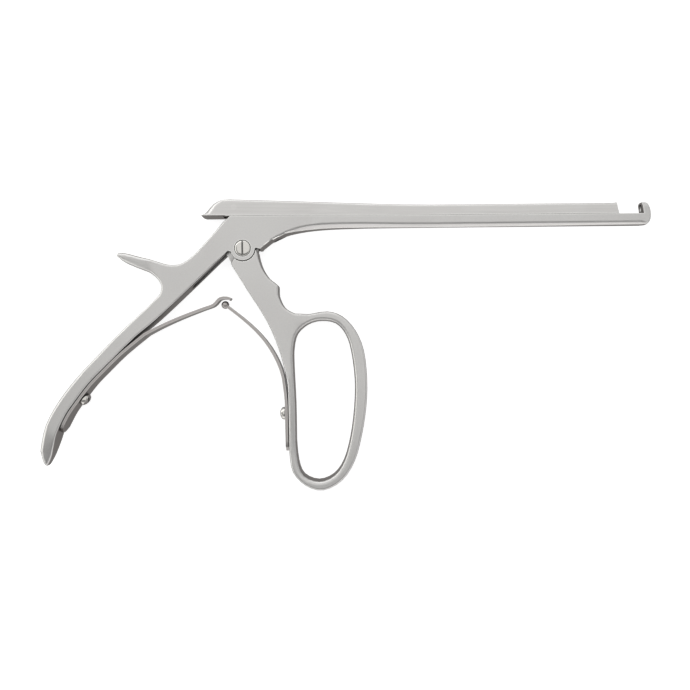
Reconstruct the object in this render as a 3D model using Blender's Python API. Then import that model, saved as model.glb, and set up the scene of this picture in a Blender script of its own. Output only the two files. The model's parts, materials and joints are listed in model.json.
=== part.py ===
"""Bone punch rongeur with a sliding upper shaft, ring lever and twin leaf springs.

The instrument lies on its side: +X runs along the shaft to the tip, +Y points away from the
finger ring, and +Z is the thickness. Every piece is drawn around the pivot screw's axis and
carried by one empty, which moves the whole over the centre of its own footprint.
"""
import math

import bpy
import bmesh
from mathutils import Matrix, Vector

# Fits and working values
FIT_GAP = 0.0003
PLANE_GAP = FIT_GAP / 2
OVERRUN = 0.002
FULL_TURN = 2 * math.pi

# Body and cheeks
BODY_WIDTH = 0.010
BOSS_RADIUS = 0.0062
BODY_TOP = 0.01635
EDGE_RIM = 0.0012
FINE_RIM = 0.0003
TONGUE_WIDTH = 0.0040
TONGUE_RADIUS = 0.0075
HEEL_BACK = 0.0086
HEEL_DROP = 0.0025
HEEL_LENGTH = 0.0050
RUNOUT_DEPTH = 0.0034
SLOT_SIDE_GAP = 0.0004

# Shaft and jaw
JAW_X = 0.2022
SHAFT_WIDTH = 0.0052
SHAFT_DEPTH = 0.00595
SHAFT_CHAMFER = 0.0017
SWEEP_CHAMFER = 0.0021
TAPER_START = 0.015
TAPER_END = 0.095
FOOT_DEPTH = 0.0039
FOOT_HEIGHT = 0.0057
FOOT_LEAN = 0.0008
FRONT_LEAN = 0.0012
JAW_OPENING = 0.0124
SLIDE_TRAVEL = 0.0121
CUP_DEPTH = 0.0009
CUP_HALF_HEIGHT = 0.0021
CUP_HALF_WIDTH = 0.0016

# Slide
SLIDE_HEIGHT = 0.0054
SLIDE_REAR_HEIGHT = 0.0084
SLIDE_TAIL = 0.0208
SLIDE_RIM = 0.0014
TAIL_RIM = 0.0032
RAIL_NECK = 0.0012
RAIL_HEAD = 0.0024
RAIL_NECK_DEPTH = 0.0010
RAIL_HEAD_DEPTH = 0.0010
RAIL_START = 0.090
RAIL_SETBACK = 0.0035
GROOVE_START = 0.070

# Rear handle
HANDLE_REACH = 0.1034
HANDLE_DROP = 0.1095
HANDLE_RIM = 0.0022
INNER_RIM = 0.0009
TIP_WIDTH = 0.0048
TIP_RIM = 0.0016
SPUR_REACH = 0.0643
SPUR_DROP = 0.0024
SPUR_TIP_WIDTH = 0.0046
SPUR_RIM = 0.0016

# Ring lever
NECK_DROP = 0.0330
NECK_SPAN = 0.0224
RING_WIDTH = 0.0394
RING_LENGTH = 0.0890
RING_DEPTH = 0.0092
RING_OUTER_RIM = 0.0014
RING_INNER_RIM = 0.0020
OPENING_WIDTH = 0.0309
OPENING_LENGTH = 0.0805
LIMB_WIDTH = 0.0026
CROWN_WIDTH = 0.0042

# Drive fork and pin
PIN_HEIGHT = 0.0206
PIN_BACK = 0.00425
PIN_RADIUS = 0.00125
FORK_PLAY = 0.00045
FORK_WALL = 0.0018
HORN_RADIUS = 0.0228
POCKET_GAP = 0.0006
PIN_INSET = 0.0001
TRAVEL_ANGLE = math.radians(32.5)

# Pivot screw
SCREW_HEAD_RADIUS = 0.0039
SCREW_HEAD_DEPTH = 0.0014
SCREW_DOME = 0.0006
SCREW_SHANK_RADIUS = 0.0025
SCREW_THREAD_RADIUS = 0.0020
SCREW_SLOT_WIDTH = 0.0009
SCREW_SLOT_DEPTH = 0.0010

# Leaf springs and their screws
LEAF_THICKNESS = 0.0014
LEAF_WIDTH = 0.0086
LEAF_TIP_WIDTH = 0.0046
REAR_LEAF_LIFT = 0.0019
FRONT_LEAF_LIFT = 0.0014
BALL_BACK = 0.0098
BALL_DROP = 0.0280
BALL_RADIUS = 0.0020
CLAW_PLAY_X = 0.00114
CLAW_PLAY_Y = 0.00049
REAR_BOW = 0.0008
FRONT_BOW = 0.0044
LEAF_SCREW_RADIUS = 0.0032
LEAF_SCREW_HEIGHT = 0.0024
LEAF_SHANK_RADIUS = 0.0013
LEAF_SCREW_BITE = 0.0020
LEAF_SLOT_WIDTH = 0.0007
LEAF_SLOT_DEPTH = 0.0009

# Outlines, each point a share of the two named sizes that its piece spans
HANDLE_TOP_SHARES = ((0.094, -0.123), (0.128, -0.085), (0.180, -0.031), (0.220, 0.009), (0.253, 0.038),
                     (0.280, 0.056), (0.313, 0.070), (0.357, 0.072), (0.399, 0.062), (0.447, 0.047))
SPUR_TOP_SHARES = ((0.812, 1.480), (0.915, 0.690), (0.975, 0.450))
SPUR_TIP_SHARES = ((0.994, 0.667), (1.000, 0.958), (0.992, 1.333))
SPUR_LOW_SHARES = ((0.942, 2.417), (0.875, 3.292), (0.806, 4.042), (0.738, 4.750))
CROOK_SHARES = ((0.4330, 0.1205), (0.4115, 0.1420), (0.4000, 0.1653), (0.3998, 0.1863), (0.4085, 0.2075))
HANDLE_OUTER_SHARES = ((0.4310, 0.2311), (0.4730, 0.2702), (0.5820, 0.3625), (0.7005, 0.4721),
                       (0.8110, 0.5805), (0.9025, 0.6903), (0.9675, 0.8000), (0.9985, 0.9105),
                       (0.9985, 0.9350))
HANDLE_RIM_SHARES = (0.5, 0.5, 0.7, 0.9, 1, 1, 1, 1, 0.9)
HANDLE_TIP_SHARES = ((0.9930, 0.9640), (0.9840, 0.9860), (0.9710, 0.9920), (0.9570, 0.9750))
HANDLE_INNER_SHARES = ((0.9400, 0.9380), (0.9215, 0.8776), (0.9065, 0.8320), (0.8665, 0.7550),
                       (0.8200, 0.6920), (0.7563, 0.6146), (0.6973, 0.5571), (0.6044, 0.4721),
                       (0.5203, 0.3973), (0.4246, 0.3242), (0.2747, 0.1936), (0.1238, 0.0584))
NECK_LEFT_SHARES = ((-0.270, -0.233), (-0.057, -0.473), (0.167, -0.718), (0.385, -0.948),
                    (0.605, -1.224), (0.817, -1.603), (0.954, -2.015))
NECK_RIGHT_SHARES = ((1.152, -0.996), (0.960, -0.924), (0.862, -0.842), (0.790, -0.715),
                     (0.785, -0.606), (0.765, -0.556), (0.570, -0.446), (0.424, -0.290), (0.352, -0.139), (0.334, -0.070))
RING_OUTER_SHARES = ((0.000, 0.802), (0.042, 0.898), (0.206, 0.974), (0.430, 1.000), (0.670, 0.944),
                     (0.833, 0.835), (0.926, 0.692), (0.986, 0.530), (1.000, 0.372), (0.962, 0.210),
                     (0.856, 0.095), (0.691, 0.016), (0.500, -0.012), (0.270, 0.002))
OPENING_SHARES = ((0.038, 0.745), (0.070, 0.870), (0.162, 0.957), (0.400, 0.994), (0.645, 0.958),
                  (0.812, 0.868), (0.920, 0.722), (0.985, 0.542), (1.000, 0.364), (0.945, 0.185),
                  (0.855, 0.077), (0.695, 0.008), (0.457, -0.008), (0.248, 0.013), (0.075, 0.071),
                  (0.013, 0.158), (0.008, 0.270), (0.033, 0.507))


def clear_scene():
    for item in list(bpy.data.objects):
        bpy.data.objects.remove(item, do_unlink=True)


def steel(name, colour, roughness):
    material = bpy.data.materials.new(name)
    material.use_nodes = True
    shader = material.node_tree.nodes["Principled BSDF"]
    shader.inputs["Base Color"].default_value = (*colour, 1)
    shader.inputs["Roughness"].default_value = roughness
    shader.inputs["Metallic"].default_value = 1
    return material


def finish(item, material, carrier, origin=(0, 0)):
    """Give a piece its material, put its origin on its axis and hang it on the carrier."""
    for shape in [item, *item.children]:
        shape.data.transform(Matrix.Translation((-origin[0], -origin[1], 0)))
    item.location = (origin[0], origin[1], 0)
    item.parent = carrier
    item.data.materials.append(material)
    return item


def smooth(item):
    item.data.shade_smooth()
    item.data.set_sharp_from_angle(angle=math.radians(32))


def new_object(name, sheet):
    bmesh.ops.recalc_face_normals(sheet, faces=sheet.faces)
    mesh = bpy.data.meshes.new(name)
    sheet.to_mesh(mesh)
    sheet.free()
    item = bpy.data.objects.new(name, mesh)
    bpy.context.collection.objects.link(item)
    smooth(item)
    return item


def boolean(item, tool, operation):
    """Apply a tool body to a piece and keep the tool as a wire guide."""
    tool.hide_render = True
    tool.display_type = 'WIRE'
    tool.parent = item
    change = item.modifiers.new(tool.name, 'BOOLEAN')
    change.operation = operation
    change.object = tool
    change.solver = 'EXACT'


def spline(points, steps):
    """Run a smooth curve through points of any length of tuple, ends included."""
    curve = []
    last = len(points) - 1
    for index in range(last):
        before = points[max(index - 1, 0)]
        start, end = points[index], points[index + 1]
        after = points[min(index + 2, last)]
        for step in range(steps):
            t = step / steps
            weights = (-t + 2 * t ** 2 - t ** 3, 2 - 5 * t ** 2 + 3 * t ** 3,
                       t + 4 * t ** 2 - 3 * t ** 3, t ** 3 - t ** 2)
            curve.append(tuple(sum(w * v for w, v in zip(weights, values)) / 2
                               for values in zip(before, start, end, after)))
    curve.append(tuple(points[last]))
    return curve


def arc(radius, first, final, steps, centre=(0, 0)):
    turn = (final - first) / steps
    return [(centre[0] + radius * math.cos(math.radians(first + turn * step)),
             centre[1] + radius * math.sin(math.radians(first + turn * step))) for step in range(steps + 1)]


def scaled(shares, width, height, x=0, y=0):
    return [(x + width * across, y + height * along) for across, along in shares]


def rimmed(points, half, rim, round_share=1):
    """Add the half width, the rim's size and its roundness to plain outline points."""
    return [(x, y, half, rim, round_share) for x, y in points]


def eased(value, start, end, first, final):
    """Slide from one size to another between two places, level at both ends."""
    share = min(max((value - start) / (end - start), 0), 1)
    return first + (final - first) * share * share * (3 - 2 * share)


def shaft_half(x):
    return eased(x, TAPER_START, TAPER_END, BODY_WIDTH, SHAFT_WIDTH) / 2


def inward(points, index):
    """Mitred direction into the material at an outline's point, left of its direction of travel."""
    here = Vector(points[index][:2])
    before = (here - Vector(points[index - 1][:2])).normalized()
    after = (Vector(points[(index + 1) % len(points)][:2]) - here).normalized()
    normal = Vector((-(before + after).y, (before + after).x))
    if normal.length < 0.2:
        return Vector((-before.y, before.x))
    normal.normalize()
    return normal / max(normal.dot(Vector((-before.y, before.x))), 0.6)


def slab(name, loops, rim_steps=3):
    """Make a flat forging from closed outlines whose edges are rounded over on both faces."""
    sheet = bmesh.new()
    caps = {1: [], -1: []}
    for points in loops:
        rings = []
        count = len(points)
        pushes = [inward(points, index) for index in range(count)]
        for side in (-1, 1):
            steps = range(rim_steps, -1, -1) if side < 0 else range(rim_steps + 1)
            for step in steps:
                turn = step / rim_steps
                ring = []
                for point, push in zip(points, pushes):
                    x, y, half, rim, round_share = point
                    inset = rim * (round_share * (1 - math.cos(turn * math.pi / 2)) + (1 - round_share) * turn)
                    rise = rim * (round_share * math.sin(turn * math.pi / 2) + (1 - round_share) * turn)
                    ring.append(sheet.verts.new((x + push.x * inset, y + push.y * inset,
                                                 side * (half - rim + rise))))
                rings.append(ring)
        for lower, upper in zip(rings, rings[1:]):
            for index in range(count):
                following = (index + 1) % count
                sheet.faces.new((lower[index], lower[following], upper[following], upper[index]))
        for side, ring in ((-1, rings[0]), (1, rings[-1])):
            for index in range(count):
                caps[side].append(sheet.edges.get((ring[index], ring[(index + 1) % count])))
    for side in (-1, 1):
        bmesh.ops.triangle_fill(sheet, use_beauty=True, use_dissolve=False, edges=caps[side],
                                normal=(0, 0, side))
    return new_object(name, sheet)


def prism(name, points, low, high):
    sheet = bmesh.new()
    face = sheet.faces.new([sheet.verts.new((x, y, low)) for x, y in points])
    pulled = bmesh.ops.extrude_face_region(sheet, geom=[face])
    moved = [element for element in pulled["geom"] if isinstance(element, bmesh.types.BMVert)]
    bmesh.ops.translate(sheet, verts=moved, vec=(0, 0, high - low))
    return new_object(name, sheet)


def box(name, low, high):
    corners = [(low[0], low[1]), (high[0], low[1]), (high[0], high[1]), (low[0], high[1])]
    return prism(name, corners, low[2], high[2])


def turned(name, profile, steps=24):
    """Spin a profile of radius and height pairs about +Z into a closed round body."""
    sheet = bmesh.new()
    rings = []
    for radius, height in profile:
        if radius == 0:
            rings.append([sheet.verts.new((0, 0, height))])
            continue
        rings.append([sheet.verts.new((radius * math.cos(FULL_TURN * step / steps),
                                       radius * math.sin(FULL_TURN * step / steps), height))
                      for step in range(steps)])
    for lower, upper in zip(rings, rings[1:]):
        for step in range(steps):
            following = (step + 1) % steps
            ring_corners = [lower[step % len(lower)], lower[following % len(lower)],
                            upper[following % len(upper)], upper[step % len(upper)]]
            corners = [v for index, v in enumerate(ring_corners) if v not in ring_corners[:index]]
            sheet.faces.new(corners)
    return new_object(name, sheet)


def strip(name, line, widths, thickness, rounded_end=False):
    """Sweep a flat spring section along a centre line; widths gives the full width at each share."""
    sheet = bmesh.new()
    rings = []
    lengths = [0]
    for start, end in zip(line, line[1:]):
        lengths.append(lengths[-1] + (Vector(end) - Vector(start)).length)
    for index, point in enumerate(line):
        ahead = Vector(line[min(index + 1, len(line) - 1)]) - Vector(line[max(index - 1, 0)])
        ahead.normalize()
        side = Vector((-ahead.y, ahead.x)) * thickness / 2
        half = (widths[0] + (widths[1] - widths[0]) * lengths[index] / lengths[-1]) / 2
        if rounded_end and lengths[index] < half:
            half *= math.sqrt(max(1 - (1 - lengths[index] / half) ** 2, 0.12))
        rings.append([sheet.verts.new((point[0] + sign * side.x, point[1] + sign * side.y, z))
                      for sign, z in ((1, half), (1, -half), (-1, -half), (-1, half))])
    for lower, upper in zip(rings, rings[1:]):
        for corner in range(4):
            following = (corner + 1) % 4
            sheet.faces.new((lower[corner], lower[following], upper[following], upper[corner]))
    sheet.faces.new(rings[0])
    sheet.faces.new(rings[-1])
    return new_object(name, sheet)


def aimed(item, place, direction):
    """Turn a body that was made along +Z to a direction in the plane and put it at a place."""
    facing = Vector((0, 0, 1)).rotation_difference(Vector((direction[0], direction[1], 0)))
    item.data.transform(Matrix.Translation((place[0], place[1], 0)) @ facing.to_matrix().to_4x4())
    return item


def handle_inner_line():
    """The rear handle's inner wall, from its tip end up to the notch."""
    return [(-x, -y) for x, y in scaled(HANDLE_INNER_SHARES, HANDLE_REACH, HANDLE_DROP)]


def lever_left_line():
    """The lever's rear edge, from the shoulder down to the end of the straight limb."""
    neck = scaled(NECK_LEFT_SHARES, NECK_SPAN, NECK_DROP)
    limb = [(NECK_SPAN * 0.979, -NECK_DROP - RING_LENGTH * 0.489),
            (NECK_SPAN * 0.986, -NECK_DROP - RING_LENGTH * 0.635),
            (NECK_SPAN * 0.996, -NECK_DROP - RING_LENGTH * 0.776)]
    return neck + limb


def offset_line(line, distance):
    """Parallel copy of an open line, moved to its right."""
    moved = []
    for index, point in enumerate(line):
        ahead = Vector(line[min(index + 1, len(line) - 1)]) - Vector(line[max(index - 1, 0)])
        ahead.normalize()
        moved.append((point[0] + ahead.y * distance, point[1] - ahead.x * distance))
    return moved


def lifted(lower, upper, share, lift):
    """Place beside a wall's straight stretch: a share of the way up it, and a lift to its right."""
    lower, upper = Vector(lower), Vector(upper)
    ahead = (upper - lower).normalized()
    place = lower.lerp(upper, share) + Vector((ahead.y, -ahead.x)) * lift
    return (place.x, place.y)


def along_shaft(name, section, start, end):
    """Run a section, given by its distances to the side and its heights, along the shaft."""
    rod = prism(name, section, 0, end - start)
    rod.data.transform(Matrix(((0, 0, 1, start), (0, 1, 0, 0), (-1, 0, 0, 0), (0, 0, 0, 1))))
    return rod


def boss_notch():
    return (-BOSS_RADIUS - EDGE_RIM, -BOSS_RADIUS * 0.21)


def shaft_run(places, level, chamfer_at, round_share):
    return [(x, level, shaft_half(x), chamfer_at(x), round_share) for x in places]


def frame_outline():
    """Frame seen from its side, run anticlockwise from the sweep under the body."""
    shaft_low = BODY_TOP - SHAFT_DEPTH
    half = BODY_WIDTH / 2

    def chamfer(x):
        return eased(x, TAPER_START, TAPER_START + BODY_WIDTH * 2, FINE_RIM, SWEEP_CHAMFER) \
            + eased(x, TAPER_START + BODY_WIDTH * 3, TAPER_END, 0, SHAFT_CHAMFER - SWEEP_CHAMFER)

    sweep_points = [(BODY_TOP * 0.593, BODY_TOP * 0.03), (BODY_TOP * 0.72, BODY_TOP * 0.13),
                    (BODY_TOP * 0.845, BODY_TOP * 0.225), (BODY_TOP * 1.00, BODY_TOP * 0.315),
                    (BODY_TOP * 1.165, BODY_TOP * 0.38), (BODY_TOP * 1.42, BODY_TOP * 0.47),
                    (BODY_TOP * 1.98, BODY_TOP * 0.56), (BODY_TOP * 2.70, BODY_TOP * 0.615),
                    (BODY_TOP * 3.80, shaft_low)]
    sweep = [(x, y, shaft_half(x), chamfer(x), 0) for x, y in spline(sweep_points, 3)]
    straight = shaft_run((TAPER_END * 0.85, TAPER_END, JAW_X - FOOT_DEPTH * 0.3), shaft_low, chamfer, 0)
    foot_half = SHAFT_WIDTH / 2
    nose = [(JAW_X + FOOT_DEPTH * 0.45, shaft_low + SHAFT_DEPTH * 0.05),
            (JAW_X + FOOT_DEPTH * 0.84, shaft_low + SHAFT_DEPTH * 0.30),
            (JAW_X + FOOT_DEPTH, shaft_low + SHAFT_DEPTH * 0.72),
            (JAW_X + FOOT_DEPTH * 0.95, BODY_TOP + FOOT_HEIGHT * 0.26),
            (JAW_X + FOOT_DEPTH * 0.76, BODY_TOP + FOOT_HEIGHT * 0.66),
            (JAW_X + FOOT_DEPTH * 0.53, BODY_TOP + FOOT_HEIGHT * 0.92),
            (JAW_X + FOOT_DEPTH * 0.20, BODY_TOP + FOOT_HEIGHT)]
    foot = rimmed(spline(nose, 2), foot_half, SHAFT_CHAMFER * 0.7)
    foot += rimmed([(JAW_X - FOOT_LEAN * 0.8, BODY_TOP + FOOT_HEIGHT * 0.97),
                    (JAW_X - FOOT_LEAN, BODY_TOP + FOOT_HEIGHT * 0.88)], foot_half, FINE_RIM)
    floor = BODY_TOP - PLANE_GAP
    foot += rimmed([(JAW_X, floor)], foot_half, FINE_RIM)
    top_places = (JAW_X * 0.95, TAPER_END, TAPER_END * 0.85, TAPER_END * 0.65, TAPER_END * 0.45,
                  TAPER_END * 0.27, TAPER_START, 0)
    top = shaft_run(top_places, floor, lambda x: FINE_RIM, 1)
    corner = rimmed([(-BOSS_RADIUS, floor)], half, FINE_RIM)
    upper = [(-x, y) for x, y in scaled(HANDLE_TOP_SHARES, HANDLE_REACH, -HANDLE_DROP)]
    handle_top = rimmed(upper, half, EDGE_RIM)
    spur_half = SPUR_TIP_WIDTH / 2

    def spur(shares, rim_share):
        points = [(-x, -y) for x, y in scaled(shares, SPUR_REACH, SPUR_DROP)]
        return [(x, y, eased(-x, SPUR_REACH * 0.66, SPUR_REACH, half, spur_half), SPUR_RIM * rim_share, 1)
                for x, y in points]

    crook = [(-x, -y, half, SPUR_RIM, 1) for x, y in scaled(CROOK_SHARES, HANDLE_REACH, HANDLE_DROP)]
    def thinned(y):
        return eased(-y, HANDLE_DROP * 0.84, HANDLE_DROP, half, TIP_WIDTH / 2)

    outer = [(-x, -y, thinned(-y), HANDLE_RIM * rim_share, 1) for (x, y), rim_share in
             zip(scaled(HANDLE_OUTER_SHARES, HANDLE_REACH, HANDLE_DROP), HANDLE_RIM_SHARES)]
    tip = [(-x, -y, thinned(-y), TIP_RIM, 1) for x, y in scaled(HANDLE_TIP_SHARES, HANDLE_REACH, HANDLE_DROP)]
    inner = [(x, y, thinned(y), eased(-y, HANDLE_DROP * 0.84, HANDLE_DROP, INNER_RIM, TIP_RIM), 1)
             for x, y in handle_inner_line()]
    back = spline(handle_top + spur(SPUR_TOP_SHARES, 1) + spur(SPUR_TIP_SHARES, 0.6)
                  + spur(SPUR_LOW_SHARES, 1) + crook + outer + tip + inner, 3)
    back = [(x, y, min(wide, half), rim, round_share) for x, y, wide, rim, round_share in back]
    notch = rimmed([boss_notch()], half, FINE_RIM)
    boss = rimmed(arc(BOSS_RADIUS, 196, 358, 12), half, FINE_RIM)
    lip = rimmed([(BOSS_RADIUS * 1.06, BOSS_RADIUS * 0.02), (BOSS_RADIUS * 1.20, -BOSS_RADIUS * 0.03),
                  (BOSS_RADIUS * 1.38, -BOSS_RADIUS * 0.07), (BOSS_RADIUS * 1.49, -BOSS_RADIUS * 0.03)],
                 half, FINE_RIM)
    return sweep + straight + foot + top + corner + back + notch + boss + lip


def fork_angle():
    """Direction of the fork at rest, from the pivot to the drive pin."""
    return math.atan2(PIN_HEIGHT, -PIN_BACK)


def heel_line(swing, gap):
    """The tongue's straight rear edge, from its low end up, after a swing and pushed out by a gap."""
    upper = Vector((-HEEL_BACK, -HEEL_DROP))
    lower = upper + Vector((HEEL_LENGTH * 0.52, -HEEL_LENGTH))
    points = []
    for place in (lower, upper):
        place.rotate(Matrix.Rotation(-swing, 2))
        place *= 1 + gap / place.length
        points.append((place.x, place.y))
    return points


def slot_outline():
    """Space between the cheeks that the tongue and fork sweep from rest to the end of travel."""
    radius = TONGUE_RADIUS + SLOT_SIDE_GAP
    arm = PIN_RADIUS + FORK_PLAY + FORK_WALL + SLOT_SIDE_GAP * 2
    top = BODY_TOP + OVERRUN
    closed = fork_angle() - TRAVEL_ANGLE
    left = -(top / math.tan(math.pi - fork_angle())) - arm / math.sin(fork_angle())
    right = top / math.tan(closed) + arm / math.sin(closed)
    swept = heel_line(TRAVEL_ANGLE, SLOT_SIDE_GAP)
    around = arc(radius, 148, 143, 1)
    back = arc(radius, 35, -25, 5)
    wall = handle_inner_line()
    runout = [lifted(wall[10], wall[11], 0.10, OVERRUN), lifted(wall[10], wall[11], 0.10, 0),
              lifted(wall[10], wall[11], 0.42, -RUNOUT_DEPTH * 0.8), lifted(wall[10], wall[11], 0.8, -RUNOUT_DEPTH)]
    return runout + swept[1:] + around + [(left, top), (right, top)] + back + [(radius, -BOSS_RADIUS - OVERRUN)]


def make_frame():
    frame = slab("frame", [frame_outline()])
    slot_half = TONGUE_WIDTH / 2 + FIT_GAP
    boolean(frame, prism("tongue_slot", slot_outline(), -slot_half, slot_half), 'DIFFERENCE')
    neck = RAIL_NECK / 2 + FIT_GAP
    head = RAIL_HEAD / 2 + FIT_GAP
    neck_low = BODY_TOP - RAIL_NECK_DEPTH + FIT_GAP
    head_low = BODY_TOP - RAIL_NECK_DEPTH - RAIL_HEAD_DEPTH - FIT_GAP
    groove_end = JAW_X - FOOT_LEAN
    section = [(-neck, BODY_TOP + OVERRUN), (-neck, neck_low), (-head, neck_low), (-head, head_low),
               (head, head_low), (head, neck_low), (neck, neck_low), (neck, BODY_TOP + OVERRUN)]
    boolean(frame, along_shaft("rail_groove", section, GROOVE_START, groove_end), 'DIFFERENCE')
    crown_low = BODY_TOP + FOOT_HEIGHT - SHAFT_WIDTH / 2
    beside, above = SHAFT_WIDTH / 2 + OVERRUN, BODY_TOP + FOOT_HEIGHT + OVERRUN
    outside = [(beside, crown_low), (beside, above), (-beside, above), (-beside, crown_low)]
    crown = outside + list(reversed(arc(SHAFT_WIDTH / 2, 0, 180, 10, (0, crown_low))))
    boolean(frame, along_shaft("foot_crown", crown, JAW_X - FOOT_LEAN - OVERRUN, JAW_X + FOOT_DEPTH + OVERRUN),
            'DIFFERENCE')
    boolean(frame, turned("pivot_bore", pivot_profile(FIT_GAP, OVERRUN)), 'DIFFERENCE')
    place, facing = rear_screw_seat()
    boolean(frame, screw_hole("rear_screw_hole", place, facing), 'DIFFERENCE')
    cup_place = (JAW_X - FOOT_LEAN / 2, BODY_TOP + FOOT_HEIGHT * 0.48)
    boolean(frame, cup("foot_cup", cup_place), 'DIFFERENCE')
    return frame


def cup(name, place):
    """Hollow grind of a cutting face, as an egg-shaped cutter."""
    steps = 8
    profile = [(0, -1)] + [(math.cos(math.radians(angle)), math.sin(math.radians(angle)))
                           for angle in [-90 + 180 * step / steps for step in range(1, steps)]] + [(0, 1)]
    egg = turned(name, profile, 14)
    egg.data.transform(Matrix.Translation((place[0], place[1], 0))
                       @ Matrix.Diagonal((CUP_DEPTH, CUP_HALF_HEIGHT, CUP_HALF_WIDTH, 1)))
    return egg


def slide_outline():
    low = BODY_TOP + PLANE_GAP
    front_low = JAW_X - JAW_OPENING
    front_top = front_low - FRONT_LEAN
    tip_top = BODY_TOP + SLIDE_HEIGHT

    def top_at(x):
        share = min(max((TAPER_END - x) / (TAPER_END + SLIDE_TAIL * 0.3), 0), 1)
        return tip_top + (SLIDE_REAR_HEIGHT - SLIDE_HEIGHT) * share ** 1.35

    bottom_places = (-SLIDE_TAIL * 0.95, 0, TAPER_START, TAPER_END * 0.27, TAPER_END * 0.45,
                     TAPER_END * 0.65, TAPER_END * 0.85, TAPER_END)
    bottom = [(x, low, shaft_half(x), FINE_RIM, 1) for x in bottom_places]
    front = rimmed([(front_low, low), (front_top, tip_top)], SHAFT_WIDTH / 2, FINE_RIM)
    top_places = (front_top - SLIDE_RIM, TAPER_END, TAPER_END * 0.85, TAPER_END * 0.65,
                  TAPER_END * 0.45, TAPER_END * 0.27, TAPER_START, 0, -SLIDE_TAIL * 0.30)
    top = [(x, top_at(x), shaft_half(x), SLIDE_RIM, 1) for x in top_places]
    rise = SLIDE_REAR_HEIGHT
    slope = [(-SLIDE_TAIL * 0.47, low + rise * 0.97), (-SLIDE_TAIL * 0.59, low + rise * 0.90),
             (-SLIDE_TAIL * 0.71, low + rise * 0.73), (-SLIDE_TAIL * 0.81, low + rise * 0.50),
             (-SLIDE_TAIL * 0.88, low + rise * 0.29), (-SLIDE_TAIL * 0.97, low + rise * 0.09),
             (-SLIDE_TAIL, low + rise * 0.02)]
    tail = []
    for step, (x, y) in enumerate(slope):
        tail.append((x, y, BODY_WIDTH / 2, SLIDE_RIM + (TAIL_RIM - SLIDE_RIM) * min(step / 3, 1), 1))
    tail[-1] = (*tail[-1][:3], SLIDE_RIM, 1)
    return bottom + front + top + tail


def make_slide():
    slide = slab("slide", [slide_outline()])
    low = BODY_TOP + PLANE_GAP
    rail_end = JAW_X - JAW_OPENING - RAIL_SETBACK
    neck_low = BODY_TOP - RAIL_NECK_DEPTH
    neck = RAIL_NECK / 2
    head = RAIL_HEAD / 2
    inside = low + RAIL_NECK_DEPTH
    section = [(-neck, inside), (neck, inside), (neck, neck_low), (head, neck_low),
               (head, neck_low - RAIL_HEAD_DEPTH), (-head, neck_low - RAIL_HEAD_DEPTH),
               (-head, neck_low), (-neck, neck_low)]
    boolean(slide, along_shaft("slide_rail", section, RAIL_START, rail_end), 'UNION')
    arm = PIN_RADIUS + FORK_PLAY + FORK_WALL
    open_angle = fork_angle()
    closed = open_angle - TRAVEL_ANGLE
    horn_rear = HORN_RADIUS * math.cos(open_angle) - arm * math.sin(open_angle)
    arm_rear = low / math.tan(closed) - arm / math.sin(closed) - SLIDE_TRAVEL
    rear = min(horn_rear, arm_rear) - POCKET_GAP
    at_rest = low / math.tan(open_angle) + arm / math.sin(open_angle)
    at_end = low / math.tan(closed) + arm / math.sin(closed) - SLIDE_TRAVEL
    front = max(at_rest, at_end) + POCKET_GAP
    pocket_half = TONGUE_WIDTH / 2 + FIT_GAP
    boolean(slide, box("fork_pocket", (rear, low - OVERRUN, -pocket_half),
                       (front, HORN_RADIUS + POCKET_GAP, pocket_half)), 'DIFFERENCE')
    hole = turned("pin_hole", [(0, -BODY_WIDTH), (PIN_RADIUS + FIT_GAP, -BODY_WIDTH),
                               (PIN_RADIUS + FIT_GAP, BODY_WIDTH), (0, BODY_WIDTH)], 20)
    hole.data.transform(Matrix.Translation((-PIN_BACK, PIN_HEIGHT, 0)))
    boolean(slide, hole, 'DIFFERENCE')
    front_x = JAW_X - JAW_OPENING - FRONT_LEAN / 2
    boolean(slide, cup("front_cup", (front_x, BODY_TOP + SLIDE_HEIGHT * 0.5)), 'DIFFERENCE')
    return slide


def make_drive_pin():
    half = BODY_WIDTH / 2 - PIN_INSET
    pin = turned("drive_pin", [(0, -half), (PIN_RADIUS - PIN_INSET, -half), (PIN_RADIUS, -half + PIN_INSET),
                               (PIN_RADIUS, half - PIN_INSET), (PIN_RADIUS - PIN_INSET, half), (0, half)], 20)
    pin.data.transform(Matrix.Translation((-PIN_BACK, PIN_HEIGHT, 0)))
    return pin


def lever_outline():
    half = BODY_WIDTH / 2
    ring_half = RING_DEPTH / 2
    shoulder_radius = BOSS_RADIUS + FIT_GAP
    shoulder = rimmed(list(reversed(arc(shoulder_radius, 229, 352, 12))), half, FINE_RIM)
    left = [(x, y, half, eased(-y, NECK_DROP, NECK_DROP * 2, EDGE_RIM * 0.6, EDGE_RIM), 1)
            for x, y in spline(lever_left_line(), 3)]
    ring_points = scaled(RING_OUTER_SHARES, RING_WIDTH, -RING_LENGTH, NECK_SPAN, -NECK_DROP)
    ring = [(x, y, ring_half, RING_OUTER_RIM, 1) for x, y in spline(ring_points, 3)]
    right_points = scaled(NECK_RIGHT_SHARES, NECK_SPAN, NECK_DROP)
    right = [(x, y, half, EDGE_RIM, 1) for x, y in spline(right_points, 3)]
    point = rimmed([(BOSS_RADIUS * 1.07, -BOSS_RADIUS * 0.12)], half, FINE_RIM / 2)
    return shoulder + left + ring + right + point


def opening_outline():
    left = NECK_SPAN + LIMB_WIDTH - FIT_GAP
    top = -NECK_DROP - CROWN_WIDTH
    points = scaled(OPENING_SHARES, OPENING_WIDTH, -OPENING_LENGTH, left, top)
    curve = spline(points + points[:1], 3)[:-1]
    return [(x, y, RING_DEPTH / 2, RING_INNER_RIM, 1) for x, y in reversed(curve)]


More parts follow.
